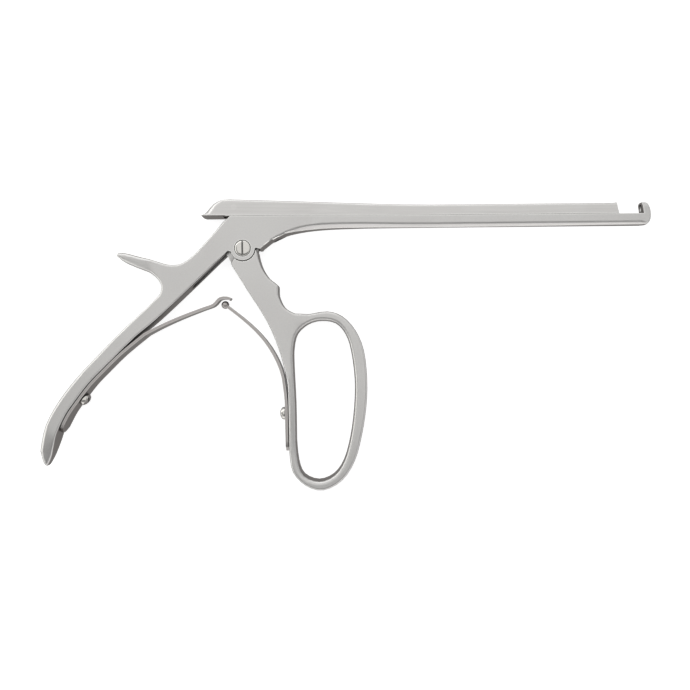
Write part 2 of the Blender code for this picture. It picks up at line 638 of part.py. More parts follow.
def tongue_outline():
    """Tongue between the cheeks, with the open fork at its top, in the lever's rest place."""
    axis = Vector((math.cos(fork_angle()), math.sin(fork_angle())))
    across = Vector((axis.y, -axis.x))
    slot = PIN_RADIUS + FORK_PLAY
    arm = slot + FORK_WALL
    slot_low = PIN_HEIGHT - slot
    points = [(-BOSS_RADIUS * 0.55, -TONGUE_RADIUS * 1.5)] + heel_line(0, 0)
    points += arc(TONGUE_RADIUS, 180, 140, 3)

    def at(along, sideways):
        place = axis * along + across * sideways
        return (place.x, place.y)

    waist = TONGUE_RADIUS
    points.append(at(waist, -arm))
    horn = math.degrees(math.asin(arm / HORN_RADIUS))
    inner = math.degrees(math.asin(slot / HORN_RADIUS))
    middle = math.degrees(fork_angle())
    points += arc(HORN_RADIUS, middle + horn, middle + inner, 2)
    for step in range(7):
        turn = math.pi * step / 6
        points.append(at(slot_low + slot - slot * math.sin(turn), -slot * math.cos(turn)))
    points += arc(HORN_RADIUS, middle - inner, middle - horn, 2)
    points.append(at(waist, arm))
    points += arc(TONGUE_RADIUS, 40, -20, 5)
    points.append((TONGUE_RADIUS, -TONGUE_RADIUS * 1.5))
    return points


def make_lever():
    lever = slab("ring_lever", [lever_outline(), opening_outline()])
    tongue = prism("tongue", list(reversed(tongue_outline())), -TONGUE_WIDTH / 2, TONGUE_WIDTH / 2)
    boolean(lever, tongue, 'UNION')
    bore = turned("lever_bore", [(0, -BODY_WIDTH), (SCREW_SHANK_RADIUS + FIT_GAP, -BODY_WIDTH),
                                 (SCREW_SHANK_RADIUS + FIT_GAP, BODY_WIDTH), (0, BODY_WIDTH)])
    boolean(lever, bore, 'DIFFERENCE')
    place, facing = front_screw_seat()
    boolean(lever, screw_hole("front_screw_hole", place, facing), 'DIFFERENCE')
    return lever


def pivot_profile(gap, extra):
    """Half section of the pivot screw, or of its bore when a gap and an overrun are added."""
    face = BODY_WIDTH / 2
    head_low = face - SCREW_HEAD_DEPTH - gap
    shank_low = -TONGUE_WIDTH / 2 - FIT_GAP * 2
    far_end = -face - extra if extra else -face + PIN_INSET
    profile = [(0, far_end), (SCREW_THREAD_RADIUS + gap, far_end),
               (SCREW_THREAD_RADIUS + gap, shank_low - gap), (SCREW_SHANK_RADIUS + gap, shank_low - gap),
               (SCREW_SHANK_RADIUS + gap, head_low), (SCREW_HEAD_RADIUS + gap, head_low)]
    if extra:
        return profile + [(SCREW_HEAD_RADIUS + gap, face + extra), (0, face + extra)]
    crown = face + SCREW_DOME
    return profile + [(SCREW_HEAD_RADIUS, face - FINE_RIM / 2), (SCREW_HEAD_RADIUS * 0.90, face + SCREW_DOME * 0.36),
                      (SCREW_HEAD_RADIUS * 0.66, face + SCREW_DOME * 0.74),
                      (SCREW_HEAD_RADIUS * 0.34, face + SCREW_DOME * 0.95), (0, crown)]


def make_pivot_screw():
    screw = turned("pivot_screw", pivot_profile(0, 0), 32)
    half = SCREW_SLOT_WIDTH / 2
    reach = SCREW_HEAD_RADIUS + OVERRUN
    top = BODY_WIDTH / 2 + SCREW_DOME
    boolean(screw, box("driver_slot", (-half, -reach, top - SCREW_SLOT_DEPTH),
                       (half, reach, top + OVERRUN)), 'DIFFERENCE')
    return screw


def screw_hole(name, place, facing):
    radius = LEAF_SHANK_RADIUS + FIT_GAP
    depth = LEAF_SCREW_BITE + FIT_GAP
    hole = turned(name, [(0, -depth), (radius, -depth), (radius, OVERRUN), (0, OVERRUN)], 16)
    return aimed(hole, place, facing)


def rear_flex_place():
    """Where the rear leaf leaves the handle and bends."""
    wall = handle_inner_line()
    return lifted(wall[8], wall[9], 0.29, REAR_LEAF_LIFT)


def front_flex_place():
    """Where the front leaf leaves the lever and bends."""
    edge = list(reversed(lever_left_line()))
    return lifted(edge[3], edge[4], 0.14, -FRONT_LEAF_LIFT)


def rear_leaf_line():
    """Centre line of the rear leaf's clamped part, on the handle's inner wall."""
    stand_off = FIT_GAP + LEAF_THICKNESS / 2
    wall = handle_inner_line()
    hugging = offset_line(wall[2:8], stand_off)
    return spline(hugging + [rear_flex_place()], 3)


def rear_screw_seat():
    """Point on the handle's inner wall under the rear spring screw, and the way its head faces."""
    wall = handle_inner_line()
    lower, upper = Vector(wall[4]), Vector(wall[5])
    here = lower.lerp(upper, 0.23)
    ahead = (upper - lower).normalized()
    return (here.x, here.y), (ahead.y, -ahead.x)


def front_leaf_line():
    """Centre line of the front leaf's clamped part, on the lever's rear edge."""
    stand_off = FIT_GAP + LEAF_THICKNESS / 2
    edge = list(reversed(lever_left_line()))[:3]
    hugging = offset_line(edge, -stand_off)
    return spline(hugging + [front_flex_place()], 4)


def front_screw_seat():
    edge = list(reversed(lever_left_line()))
    lower, upper = Vector(edge[1]), Vector(edge[2])
    here = lower.lerp(upper, 0.485)
    ahead = (upper - lower).normalized()
    return (here.x, here.y), (-ahead.y, ahead.x)


def bowed(start, end, bow, steps):
    """Curve from start to end that bulges to the left of its travel, more near its start."""
    start, end = Vector(start), Vector(end)
    chord = end - start
    side = Vector((-chord.y, chord.x)).normalized()
    points = []
    for step in range(steps + 1):
        share = step / steps
        place = start + chord * share + side * bow * math.sin(math.pi * share ** 0.85)
        points.append((place.x, place.y))
    return points


def trimmed(line, cut):
    """Shorten a line at its first point by a small length."""
    first, second = Vector(line[0]), Vector(line[1])
    moved = first + (second - first).normalized() * cut
    return [(moved.x, moved.y)] + line[1:]


def leaf_root(name, line, seat, facing):
    root = strip(name, line, (LEAF_WIDTH, LEAF_WIDTH), LEAF_THICKNESS, rounded_end=True)
    radius = LEAF_SHANK_RADIUS + FIT_GAP
    hole = turned(name + "_hole", [(0, -OVERRUN), (radius, -OVERRUN), (radius, OVERRUN * 2), (0, OVERRUN * 2)], 16)
    boolean(root, aimed(hole, seat, facing), 'DIFFERENCE')
    return root


def make_rear_blade():
    start = rear_flex_place()
    ball = Vector((-BALL_BACK, -BALL_DROP))
    middle = ball + Vector((-CLAW_PLAY_X / 2, CLAW_PLAY_Y / 2))
    reach_x = BALL_RADIUS + FIT_GAP + (CLAW_PLAY_X + LEAF_THICKNESS) / 2
    reach_y = BALL_RADIUS + FIT_GAP + (CLAW_PLAY_Y + LEAF_THICKNESS) / 2
    claw = []
    for angle, loosened in ((152, 0), (122, 0), (90, 0), (75, 1), (62, 1), (48, 1)):
        turn = math.radians(angle)
        claw.append((middle.x + CLAW_PLAY_X * loosened + reach_x * math.cos(turn),
                     middle.y + reach_y * math.sin(turn)))
    entry = (middle.x - reach_x * 1.45, middle.y - reach_y * 0.15)
    line = trimmed(bowed(start, entry, REAR_BOW, 8), FIT_GAP) + claw
    return strip("rear_leaf_blade", spline(line, 2), (LEAF_WIDTH, LEAF_TIP_WIDTH), LEAF_THICKNESS)


def make_front_blade():
    start = front_flex_place()
    ball = (-BALL_BACK, -BALL_DROP)
    line = trimmed(bowed(start, ball, -FRONT_BOW, 12), FIT_GAP)
    blade = strip("front_leaf_blade", line, (LEAF_WIDTH, LEAF_TIP_WIDTH / 2), LEAF_THICKNESS)
    steps = 8
    profile = [(0, -BALL_RADIUS)]
    profile += [(BALL_RADIUS * math.sin(math.pi * step / steps), -BALL_RADIUS * math.cos(math.pi * step / steps))
                for step in range(1, steps)]
    knob = turned("spring_ball", profile + [(0, BALL_RADIUS)], 16)
    knob.data.transform(Matrix.Translation((*ball, 0)))
    boolean(blade, knob, 'UNION')
    return blade


def make_leaf_screw(name, seat, facing):
    """Round-headed screw whose head clamps a leaf to its handle."""
    under = FIT_GAP * 2 + LEAF_THICKNESS
    low = -LEAF_SCREW_BITE
    radius, height = LEAF_SCREW_RADIUS, LEAF_SCREW_HEIGHT
    profile = [(0, low), (LEAF_SHANK_RADIUS, low), (LEAF_SHANK_RADIUS, under), (radius, under),
               (radius, under + height * 0.30), (radius * 0.86, under + height * 0.66),
               (radius * 0.52, under + height * 0.92), (0, under + height)]
    screw = turned(name, profile, 20)
    half = LEAF_SLOT_WIDTH / 2
    top = under + height
    slot = box(name + "_slot", (-half, -radius - OVERRUN, top - LEAF_SLOT_DEPTH),
               (half, radius + OVERRUN, top + OVERRUN))
    aimed(slot, seat, facing)
    aimed(screw, seat, facing)
    boolean(screw, slot, 'DIFFERENCE')
    return screw


def centre_over_footprint(carrier, pieces):
    """Move the carrier so that the pieces stand on zero, centred over the origin."""
    bpy.context.view_layer.update()
    corners = [piece.matrix_world @ vertex.co for piece in pieces for vertex in piece.data.vertices]
    low = [min(corner[axis] for corner in corners) for axis in range(3)]
    high = [max(corner[axis] for corner in corners) for axis in range(3)]
    carrier.location = (-(low[0] + high[0]) / 2, -(low[1] + high[1]) / 2, -low[2])


def build():
    clear_scene()
    forged = steel("satin_steel", (0.60, 0.60, 0.59), 0.38)
    brushed = steel("brushed_steel", (0.62, 0.61, 0.60), 0.34)
    spring = steel("spring_steel", (0.52, 0.51, 0.51), 0.32)
    turned_steel = steel("screw_steel", (0.66, 0.66, 0.65), 0.25)
    carrier = bpy.data.objects.new("pivot_axis", None)
    bpy.context.collection.objects.link(carrier)
    rear_seat, rear_facing = rear_screw_seat()
    front_seat, front_facing = front_screw_seat()
    pieces = [
        finish(make_frame(), forged, carrier),
        finish(make_slide(), brushed, carrier),
        finish(make_drive_pin(), turned_steel, carrier),
        finish(make_lever(), forged, carrier),
        finish(make_pivot_screw(), turned_steel, carrier),
        finish(leaf_root("rear_leaf_root", rear_leaf_line(), rear_seat, rear_facing), spring, carrier),
        finish(make_rear_blade(), spring, carrier, rear_flex_place()),
        finish(leaf_root("front_leaf_root", front_leaf_line(), front_seat, front_facing), spring, carrier),
        finish(make_front_blade(), spring, carrier, front_flex_place()),
        finish(make_leaf_screw("rear_spring_screw", rear_seat, rear_facing), turned_steel, carrier),
        finish(make_leaf_screw("front_spring_screw", front_seat, front_facing), turned_steel, carrier),
    ]
    centre_over_footprint(carrier, pieces)


build()
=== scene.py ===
import bpy
import json
from math import pi, radians
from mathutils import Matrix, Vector


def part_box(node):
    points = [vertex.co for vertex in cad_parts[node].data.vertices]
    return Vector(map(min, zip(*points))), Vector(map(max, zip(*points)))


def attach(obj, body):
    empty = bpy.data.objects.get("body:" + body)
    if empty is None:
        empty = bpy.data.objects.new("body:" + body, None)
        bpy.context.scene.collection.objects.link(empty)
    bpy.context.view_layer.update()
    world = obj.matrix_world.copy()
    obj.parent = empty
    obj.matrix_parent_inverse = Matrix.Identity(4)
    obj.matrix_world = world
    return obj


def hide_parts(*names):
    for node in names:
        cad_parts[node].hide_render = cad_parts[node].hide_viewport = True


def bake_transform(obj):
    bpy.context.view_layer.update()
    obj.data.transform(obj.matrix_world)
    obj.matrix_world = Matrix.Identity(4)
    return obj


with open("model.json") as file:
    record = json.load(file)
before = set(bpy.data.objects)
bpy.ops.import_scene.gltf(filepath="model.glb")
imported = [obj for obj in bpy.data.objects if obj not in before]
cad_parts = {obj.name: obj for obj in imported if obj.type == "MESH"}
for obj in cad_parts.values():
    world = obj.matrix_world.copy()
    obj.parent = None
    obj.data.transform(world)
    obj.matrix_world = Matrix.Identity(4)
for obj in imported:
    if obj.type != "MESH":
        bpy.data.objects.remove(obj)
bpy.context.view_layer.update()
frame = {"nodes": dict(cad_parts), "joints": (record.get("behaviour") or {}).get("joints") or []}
print("frame loaded:", len(frame["nodes"]), "nodes")


# selecting, merging and finishing

def deselectAll():
    if bpy.context.object and bpy.context.object.mode != "OBJECT":
        bpy.ops.object.mode_set(mode="OBJECT")
    bpy.ops.object.select_all(action="DESELECT")


def takeUp(piece):
    deselectAll()
    piece.select_set(True)
    bpy.context.view_layer.objects.active = piece


def copyOfNode(nodeName, pieceName):    # a merged copy, so that shading can run round its rims
    mesh = frame["nodes"][nodeName].data.copy()
    mesh.materials.clear()
    piece = bpy.data.objects.new(pieceName, mesh)
    bpy.context.scene.collection.objects.link(piece)
    takeUp(piece)
    bpy.ops.object.mode_set(mode="EDIT")
    bpy.ops.mesh.select_all(action="SELECT")
    bpy.ops.mesh.customdata_custom_splitnormals_clear()
    bpy.ops.mesh.remove_doubles(threshold=copyFit["mergeDistance"])
    bpy.ops.mesh.normals_make_consistent(inside=False)
    bpy.ops.mesh.dissolve_limited(angle_limit=radians(copyFit["flatAngle"]))
    bpy.ops.object.mode_set(mode="OBJECT")
    return piece


def smoothRims(piece, sharpAngle):    # the wide faces stay flat, and the shading turns over the rims
    takeUp(piece)
    bpy.ops.object.shade_smooth_by_angle(angle=radians(sharpAngle))
    flatFaces = piece.modifiers.new("flatFaces", "WEIGHTED_NORMAL")
    flatFaces.keep_sharp = True
    flatFaces.weight = copyFit["faceWeight"]
    bpy.ops.object.modifier_apply(modifier=flatFaces.name)


def dress(piece, material):
    piece.data.materials.clear()
    piece.data.materials.append(material)


copyFit = {
    "mergeDistance": 0.000005,
    "flatAngle": 0.2,       # degrees between faces that count as one flat face
    "faceWeight": 90,       # how much a wide face outweighs a narrow one in the shading
}


# shader groups

def newGroup(name, numbers, outputs):
    group = bpy.data.node_groups.new(name, "ShaderNodeTree")
    for label, value in numbers:
        socket = group.interface.new_socket(label, in_out="INPUT", socket_type="NodeSocketFloat")
        socket.default_value = value
    for label, kind in outputs:
        group.interface.new_socket(label, in_out="OUTPUT", socket_type=kind)
    return group, group.nodes.new("NodeGroupInput"), group.nodes.new("NodeGroupOutput")


def mathNode(tree, operation, first, second):
    node = tree.nodes.new("ShaderNodeMath")
    node.operation = operation
    for socket, value in zip(node.inputs, (first, second)):
        if isinstance(value, (int, float)):
            socket.default_value = value
        else:
            tree.links.new(value, socket)
    return node.outputs[0]


def makeBrushedGrain():
    group, given, out = newGroup("brushedGrain", [("Scale", 900), ("Stretch", 40), ("Contrast", 1)],
                                 [("Height", "NodeSocketFloat"), ("Mask", "NodeSocketFloat")])
    links = group.links
    place = group.nodes.new("ShaderNodeTexCoord")
    squeeze = group.nodes.new("ShaderNodeCombineXYZ")
    squeeze.inputs["Y"].default_value = 1
    squeeze.inputs["Z"].default_value = 1
    links.new(mathNode(group, "DIVIDE", 1, given.outputs["Stretch"]), squeeze.inputs["X"])
    stretched = group.nodes.new("ShaderNodeVectorMath")
    stretched.operation = "MULTIPLY"
    links.new(place.outputs["Object"], stretched.inputs[0])
    links.new(squeeze.outputs[0], stretched.inputs[1])
    hairs = group.nodes.new("ShaderNodeTexNoise")
    hairs.inputs["Detail"].default_value = 4
    hairs.inputs["Roughness"].default_value = 0.65
    links.new(stretched.outputs[0], hairs.inputs["Vector"])
    links.new(given.outputs["Scale"], hairs.inputs["Scale"])
    centred = mathNode(group, "SUBTRACT", hairs.outputs["Fac"], 0.5)
    swing = mathNode(group, "MULTIPLY", centred, given.outputs["Contrast"])
    links.new(swing, out.inputs["Height"])
    links.new(mathNode(group, "ADD", swing, 0.5), out.inputs["Mask"])
    return group


def makeSatinGrain():
    group, given, out = newGroup("satinGrain", [("Scale", 2600), ("Contrast", 1)],
                                 [("Height", "NodeSocketFloat"), ("Mask", "NodeSocketFloat")])
    links = group.links
    place = group.nodes.new("ShaderNodeTexCoord")
    grains = group.nodes.new("ShaderNodeTexNoise")
    grains.inputs["Detail"].default_value = 3
    grains.inputs["Roughness"].default_value = 0.6
    links.new(place.outputs["Object"], grains.inputs["Vector"])
    links.new(given.outputs["Scale"], grains.inputs["Scale"])
    centred = mathNode(group, "SUBTRACT", grains.outputs["Fac"], 0.5)
    swing = mathNode(group, "MULTIPLY", centred, given.outputs["Contrast"])
    links.new(swing, out.inputs["Height"])
    links.new(mathNode(group, "ADD", swing, 0.5), out.inputs["Mask"])
    return group


def makeHandlingMarks():    # broad, faint patches where the finish is duller or brighter
    group, given, out = newGroup("handlingMarks", [("Scale", 55), ("Spread", 1)],
                                 [("Mask", "NodeSocketFloat")])
    links = group.links
    place = group.nodes.new("ShaderNodeTexCoord")
    patches = group.nodes.new("ShaderNodeTexNoise")
    patches.inputs["Detail"].default_value = 2
    patches.inputs["Distortion"].default_value = 0.6
    links.new(place.outputs["Object"], patches.inputs["Vector"])
    links.new(given.outputs["Scale"], patches.inputs["Scale"])
    centred = mathNode(group, "SUBTRACT", patches.outputs["Fac"], 0.5)
    swing = mathNode(group, "MULTIPLY", centred, given.outputs["Spread"])
    links.new(mathNode(group, "ADD", swing, 0.5), out.inputs["Mask"])
    return group


def makeEdgePolish():    # where the real normal and a rounded one part, the edge is rubbed bright
    group, given, out = newGroup("edgePolish", [("Radius", 0.0008), ("Gain", 2.5)],
                                 [("Mask", "NodeSocketFloat")])
    links = group.links
    rounded = group.nodes.new("ShaderNodeBevel")
    rounded.samples = 6
    links.new(given.outputs["Radius"], rounded.inputs["Radius"])
    shape = group.nodes.new("ShaderNodeNewGeometry")
    parted = group.nodes.new("ShaderNodeVectorMath")
    parted.operation = "DISTANCE"
    links.new(rounded.outputs[0], parted.inputs[0])
    links.new(shape.outputs["Normal"], parted.inputs[1])
    gained = mathNode(group, "MULTIPLY", parted.outputs["Value"], given.outputs["Gain"])
    links.new(mathNode(group, "MINIMUM", gained, 1), out.inputs["Mask"])
    return group


def makePaintedWallShade():    # painted shade: the more sideways a face turns, the darker its colour, standing in for the shade on the side walls
    group, given, out = newGroup("paintedWallShade", [("Flat", 0.74), ("Upright", 0.35)],
                                 [("Mask", "NodeSocketFloat")])
    links = group.links
    place = group.nodes.new("ShaderNodeTexCoord")
    parts = group.nodes.new("ShaderNodeSeparateXYZ")
    links.new(place.outputs["Normal"], parts.inputs[0])
    upright = group.nodes.new("ShaderNodeMapRange")
    upright.interpolation_type = "SMOOTHSTEP"
    upright.inputs["To Min"].default_value = 1
    upright.inputs["To Max"].default_value = 0
    links.new(mathNode(group, "ABSOLUTE", parts.outputs["Z"], 0), upright.inputs["Value"])
    links.new(given.outputs["Upright"], upright.inputs["From Min"])
    links.new(given.outputs["Flat"], upright.inputs["From Max"])
    links.new(upright.outputs[0], out.inputs["Mask"])
    return group


def makePaintedCreviceShade():    # painted shade: slots, notches and inner corners are darkened where ambient occlusion finds them closed in
    group, given, out = newGroup("paintedCreviceShade", [("Reach", 0.0008), ("Gain", 1.4)],
                                 [("Mask", "NodeSocketFloat")])
    links = group.links
    shade = group.nodes.new("ShaderNodeAmbientOcclusion")
    shade.samples = 6
    shade.only_local = True
    links.new(given.outputs["Reach"], shade.inputs["Distance"])
    closed = mathNode(group, "SUBTRACT", 1, shade.outputs["AO"])
    gained = mathNode(group, "MULTIPLY", closed, given.outputs["Gain"])
    links.new(mathNode(group, "MINIMUM", gained, 1), out.inputs["Mask"])
    return group


groups = {
    "brushedGrain": makeBrushedGrain(),
    "satinGrain": makeSatinGrain(),
    "handlingMarks": makeHandlingMarks(),
    "edgePolish": makeEdgePolish(),
    "paintedWallShade": makePaintedWallShade(),
    "paintedCreviceShade": makePaintedCreviceShade(),
}
print("shader groups made:", len(groups))


# materials

def useGroup(tree, name, **values):
    node = tree.nodes.new("ShaderNodeGroup")
    node.node_tree = groups[name]
    for label, value in values.items():
        node.inputs[label.capitalize()].default_value = value
    return node.outputs


def blendColours(tree, mask, low, high):
    node = tree.nodes.new("ShaderNodeMix")
    node.data_type = "RGBA"
    tree.links.new(mask, node.inputs["Factor"])
    for label, value in (("A", low), ("B", high)):
        socket = [s for s in node.inputs if s.name == label and s.type == "RGBA"][0]
        if isinstance(value, tuple):
            socket.default_value = (*value, 1)
        else:
            tree.links.new(value, socket)
    return [s for s in node.outputs if s.type == "RGBA"][0]


def spread(tree, mask, low, high):
    node = tree.nodes.new("ShaderNodeMapRange")
    tree.links.new(mask, node.inputs["Value"])
    node.inputs["To Min"].default_value = low
    node.inputs["To Max"].default_value = high
    return node.outputs[0]


def steelMaterial(name, look):
    material = bpy.data.materials.new(name)
    material.use_nodes = True
    tree = material.node_tree
    shader = tree.nodes["Principled BSDF"]
    shader.inputs["Metallic"].default_value = 1
    shader.inputs["Specular Tint"].default_value = (*look["grazing"], 1)
    shader.inputs["Anisotropic"].default_value = look["anisotropy"]
    if look["stretch"] > 1:
        grain = useGroup(tree, "brushedGrain", scale=look["grainScale"], stretch=look["stretch"])
    else:
        grain = useGroup(tree, "satinGrain", scale=look["grainScale"])
    marks = useGroup(tree, "handlingMarks", scale=look["marksScale"])
    polish = useGroup(tree, "edgePolish", radius=look["edgeRadius"], gain=look["edgeGain"])
    plain = blendColours(tree, marks["Mask"], look["cool"], look["warm"])
    grained = blendColours(tree, grain["Mask"], look["grainDark"], (1, 1, 1))
    tinted = tree.nodes.new("ShaderNodeMix")
    tinted.data_type = "RGBA"
    tinted.blend_type = "MULTIPLY"
    tinted.inputs["Factor"].default_value = 1
    colourSockets = [s for s in tinted.inputs if s.type == "RGBA"]
    tree.links.new(plain, colourSockets[0])
    tree.links.new(grained, colourSockets[1])
    tintedOut = [s for s in tinted.outputs if s.type == "RGBA"][0]
    worn = blendColours(tree, polish["Mask"], tintedOut, look["polished"])
    # painted shade: faces turned sideways are darkened in the base colour
    wall = useGroup(tree, "paintedWallShade")
    wallShaded = blendColours(tree, wall["Mask"], worn, look["wall"])
    # painted shade: closed-in corners and slots are darkened in the base colour
    creviceShading = useGroup(tree, "paintedCreviceShade", reach=look["creviceReach"], gain=look["creviceGain"])
    tree.links.new(blendColours(tree, creviceShading["Mask"], wallShaded, look["crevice"]), shader.inputs["Base Color"])
    dull = spread(tree, marks["Mask"], look["roughLow"], look["roughHigh"])
    rubbed = mathNode(tree, "MULTIPLY", polish["Mask"], look["polishGain"])
    rough = mathNode(tree, "SUBTRACT", dull, rubbed)
    grainRough = mathNode(tree, "MULTIPLY", grain["Height"], look["grainRough"])
    tree.links.new(mathNode(tree, "ADD", rough, grainRough), shader.inputs["Roughness"])
    bump = tree.nodes.new("ShaderNodeBump")
    bump.inputs["Strength"].default_value = look["bump"]
    bump.inputs["Distance"].default_value = look["bumpDepth"]
    tree.links.new(grain["Height"], bump.inputs["Height"])
    tree.links.new(bump.outputs[0], shader.inputs["Normal"])
    return material


satinLook = {
    "cool": (0.585, 0.581, 0.570), "warm": (0.560, 0.550, 0.541), "grainDark": (0.84, 0.84, 0.84),
    "polished": (0.76, 0.76, 0.74), "roughLow": 0.33, "roughHigh": 0.43, "grainRough": 0.08,
    "grainScale": 1500, "stretch": 1, "marksScale": 38, "edgeRadius": 0.0008, "edgeGain": 1.6,
    "polishGain": 0.12, "bump": 0.12, "bumpDepth": 0.00008, "anisotropy": 0.0,
    # wall and crevice are painted shade colours, for faces turned sideways and for closed-in corners
    "wall": (0.17, 0.160, 0.156), "crevice": (0.03, 0.028, 0.027), "creviceReach": 0.0035,
    "creviceGain": 1.3, "grazing": (0.55, 0.54, 0.53),
}
brushedLook = {**satinLook, "cool": (0.625, 0.620, 0.608), "warm": (0.598, 0.586, 0.576),
               "grainScale": 1100, "stretch": 45, "bump": 0.25,
               "grainDark": (0.77, 0.77, 0.77), "roughLow": 0.30, "roughHigh": 0.38}
springLook = {**satinLook, "cool": (0.40, 0.385, 0.375), "warm": (0.36, 0.335, 0.325),
              "polished": (0.50, 0.485, 0.475), "roughLow": 0.28, "roughHigh": 0.36}
screwLook = {**satinLook, "cool": (0.66, 0.65, 0.62), "warm": (0.62, 0.60, 0.57),
             "roughLow": 0.16, "roughHigh": 0.24, "edgeRadius": 0.0003, "creviceReach": 0.0012,
             "creviceGain": 1.8}
peenedLook = {**brushedLook, "edgeGain": 0, "grainDark": (0.84, 0.84, 0.84)}

satinSteel = steelMaterial("satinSteel", satinLook)
peenedSteel = steelMaterial("peenedSteel", peenedLook)
brushedSteel = steelMaterial("brushedSteel", brushedLook)
springSteel = steelMaterial("springSteel", springLook)
screwSteel = steelMaterial("screwSteel", screwLook)
print("steel finishes made")


# the forged and machined pieces

sharpAngles = {    # degrees past which an edge stays sharp in the shading
    "forged": 34,
    "turned": 30,
}


def putInPlace(piece, nodeName, body, material, sharpAngle):
    smoothRims(piece, sharpAngle)
    dress(piece, material)
    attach(piece, body)
    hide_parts(nodeName)


def carryOver(nodeName, pieceName, body, material, sharpAngle):
    putInPlace(copyOfNode(nodeName, pieceName), nodeName, body, material, sharpAngle)


def bandOfVertices(piece, test):    # selects by place, and leaves the piece in edit mode
    takeUp(piece)
    bpy.ops.object.mode_set(mode="EDIT")
    bpy.ops.mesh.select_all(action="DESELECT")
    bpy.ops.mesh.select_mode(type="VERT")
    bpy.ops.object.mode_set(mode="OBJECT")
    for vertex in piece.data.vertices:
        vertex.select = test(vertex.co)
    bpy.ops.object.mode_set(mode="EDIT")


tailTip = {
    "reach": 0.004,      # how far ahead of the slide's rear end the tip goes
    "below": 0.0001,     # what hangs this far below the foot is lifted
    "lift": 0.0006,      # how far above the slide's foot the tip's rims meet
}


def closeTailTip(slideCopy):    # the slope's wide rim ends above the foot, and no lip hangs below it
    low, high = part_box("slide")
    foot = footLevel(slideCopy)
    near = low[0] + tailTip["reach"]
    bandOfVertices(slideCopy, lambda co: co.x < near and co.y < foot - tailTip["below"])
    bpy.ops.transform.resize(value=(1, 0, 1), center_override=(0, foot + tailTip["lift"], 0))
    bpy.ops.mesh.select_all(action="SELECT")
    bpy.ops.mesh.normals_make_consistent(inside=False)
    bpy.ops.object.mode_set(mode="OBJECT")


seam = {
    "rimHeight": 0.00035,    # how far the rims reach either side of the line between slide and shaft
    "rimShare": 0.06,        # what is left of the rims' height
    "hairline": 0.00012,     # gap that stays between the two
    "stepShares": (0.052, 0.060),    # of the slide's length, where its foot steps down behind the notch
    "searchReach": 0.02,     # half the length of shaft on which its top is read
}


def footLevel(slideCopy):    # the plane on which the slide runs, read at its face side
    low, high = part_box("slide")
    ahead = [v.co for v in slideCopy.data.vertices if v.co.x > (low[0] + high[0]) / 2]
    face = max(co.z for co in ahead) - seam["rimHeight"]
    return min(co.y for co in ahead if co.z > face)


def tightenSeam(frameCopy, slideCopy):    # slide and shaft are lapped together, so only a hairline shows
    low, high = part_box("slide")
    middle = (low[0] + high[0]) / 2
    slideFoot = footLevel(slideCopy)
    shaftTop = max(v.co.y for v in frameCopy.data.vertices if abs(v.co.x - middle) < seam["searchReach"])
    steps = [low[0] + (high[0] - low[0]) * share for share in seam["stepShares"]]
    takeUp(slideCopy)
    bpy.ops.object.mode_set(mode="EDIT")
    for step in steps:
        bpy.ops.mesh.select_all(action="SELECT")
        bpy.ops.mesh.bisect(plane_co=(step, 0, 0), plane_no=(1, 0, 0))
    lowered = (steps[0] + steps[1]) / 2
    bandOfVertices(slideCopy, lambda co: co.x > lowered and abs(co.y - slideFoot) < seam["rimHeight"])
    bpy.ops.transform.resize(value=(1, seam["rimShare"], 1), center_override=(0, slideFoot, 0))
    bpy.ops.transform.translate(value=(0, shaftTop + seam["hairline"] - slideFoot, 0))
    bpy.ops.object.mode_set(mode="OBJECT")
    bandOfVertices(frameCopy, lambda co: abs(co.y - shaftTop) < seam["rimHeight"])
    bpy.ops.transform.resize(value=(1, seam["rimShare"], 1), center_override=(0, shaftTop, 0))
    bpy.ops.object.mode_set(mode="OBJECT")


underside = {
    "startShare": 0.37,    # of the frame's length, where the rolled edge starts on the arch
    "roundOff": 0.0009,
    "segments": 2,
    "flatTilt": 0.94,      # a flat side's normal has at least this much of Z
    "slopeTilt": (0.6, 0.8),
    "slopeDrop": -0.6,     # a slope's normal has at most this much of Y
}


def roundUnderside(frameCopy):    # the chamfer's upper edge is rolled into the shaft's flat side
    low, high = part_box("frame")
    startX = low[0] + (high[0] - low[0]) * underside["startShare"]
    takeUp(frameCopy)
    bpy.ops.object.mode_set(mode="EDIT")
    bpy.ops.mesh.select_all(action="DESELECT")
    bpy.ops.mesh.select_mode(type="EDGE")
    bpy.ops.object.mode_set(mode="OBJECT")
    mesh = frameCopy.data
    flats = set()
    slopes = set()
    shallow, steep = underside["slopeTilt"]
    for face in mesh.polygons:
        if abs(face.normal.z) > underside["flatTilt"]:
            flats.update(face.edge_keys)
        if shallow < abs(face.normal.z) < steep and face.normal.y < underside["slopeDrop"]:
            slopes.update(face.edge_keys)
    for edge in mesh.edges:
        ahead = min(mesh.vertices[i].co.x for i in edge.vertices)
        edge.select = edge.key in flats and edge.key in slopes and ahead > startX
    bpy.ops.object.mode_set(mode="EDIT")
    bpy.ops.mesh.bevel(offset=underside["roundOff"], segments=underside["segments"], affect="EDGES")
    bpy.ops.object.mode_set(mode="OBJECT")


drivePinFit = {    # the pin's ends are hammered out flush with the slide, and brushed over with it
    "flushDepth": 0.0012,      # how deep an end is spread
    "holeSize": 1.3,           # times the pin's radius
    "holeWallTilt": 0.3,       # the hole's wall has less than this much of Z in its normal
    "peenedSize": 1.32,        # times the pin's own width
    "peenedHeight": 1.0235,    # times its own length
}


